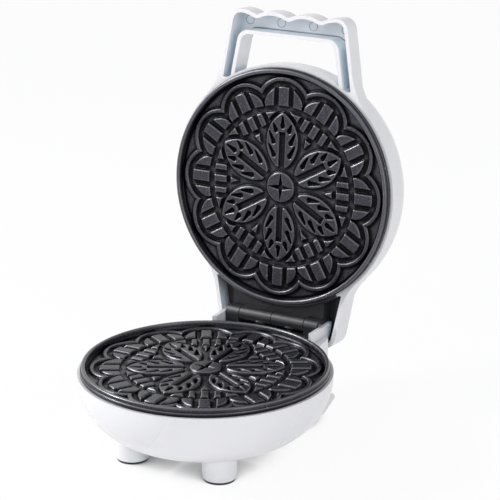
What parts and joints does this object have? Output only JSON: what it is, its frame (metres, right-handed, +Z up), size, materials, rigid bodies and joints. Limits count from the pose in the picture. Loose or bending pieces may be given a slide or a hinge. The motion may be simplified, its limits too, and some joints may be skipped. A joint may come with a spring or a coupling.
{
  "type": "waffle cone maker",
  "caption": "Small electric wafer and cone maker standing open: white bowl base on stub feet, round black rosette plates, hinged domed lid with a finger-grip handle.",
  "frame": {"origin": "middle of the open appliance's box, on the table it stands on", "axes": "+X to the appliance's right, +Y to its hinge side at the rear, +Z up"},
  "size_m": [0.1432, 0.1958, 0.2323],
  "materials": {
    "white_plastic": "gloss white moulding",
    "coated_aluminium": "satin black non-stick coating on cast aluminium",
    "black_plastic": "satin black",
    "steel": "zinc-plated",
    "element_sheath": "heat-darkened sheath",
    "bright_sheet": "bright sheet",
    "phenolic": "dark moulded resin",
    "steatite": "unglazed, cream",
    "black_rubber": "matte",
    "red_lens": "clear red",
    "lamp_glass": "clear"
  },
  "bodies": {
    "base": {"base_housing": "white_plastic", "lower_plate": "coated_aluminium", "base_hinge_block": "black_plastic", "hinge_pin": "steel", "base_screws": "steel", "base_hinge_screws": "steel", "lower_heater": "element_sheath", "lower_heat_shield": "bright_sheet", "plate_posts": "steel", "lower_thermostat": "phenolic", "lower_thermal_fuse": "steel", "terminal_block": "steatite", "cord_gland": "black_rubber", "foot_pad_front_left": "black_rubber", "foot_pad_front_right": "black_rubber", "foot_pad_rear_left": "black_rubber", "foot_pad_rear_right": "black_rubber"},
    "lid": {"lid_housing": "white_plastic", "upper_plate": "coated_aluminium", "lid_hinge_liner": "black_plastic", "upper_plate_screws": "steel", "lid_liner_screws": "steel", "lid_centre_screw": "steel", "upper_heater": "element_sheath", "upper_heat_shield": "bright_sheet", "upper_thermal_fuse": "steel", "lid_centre_cap": "white_plastic", "indicator_lens": "red_lens", "indicator_lamp": "lamp_glass"}
  },
  "joints": [
    {"name": "lid_hinge", "type": "hinge", "parent": "base", "child": "lid", "pos_m": [0, 0.05257, 0.053], "axis": [1, 0, 0], "range_deg": [0, 93.85]}
  ]
}
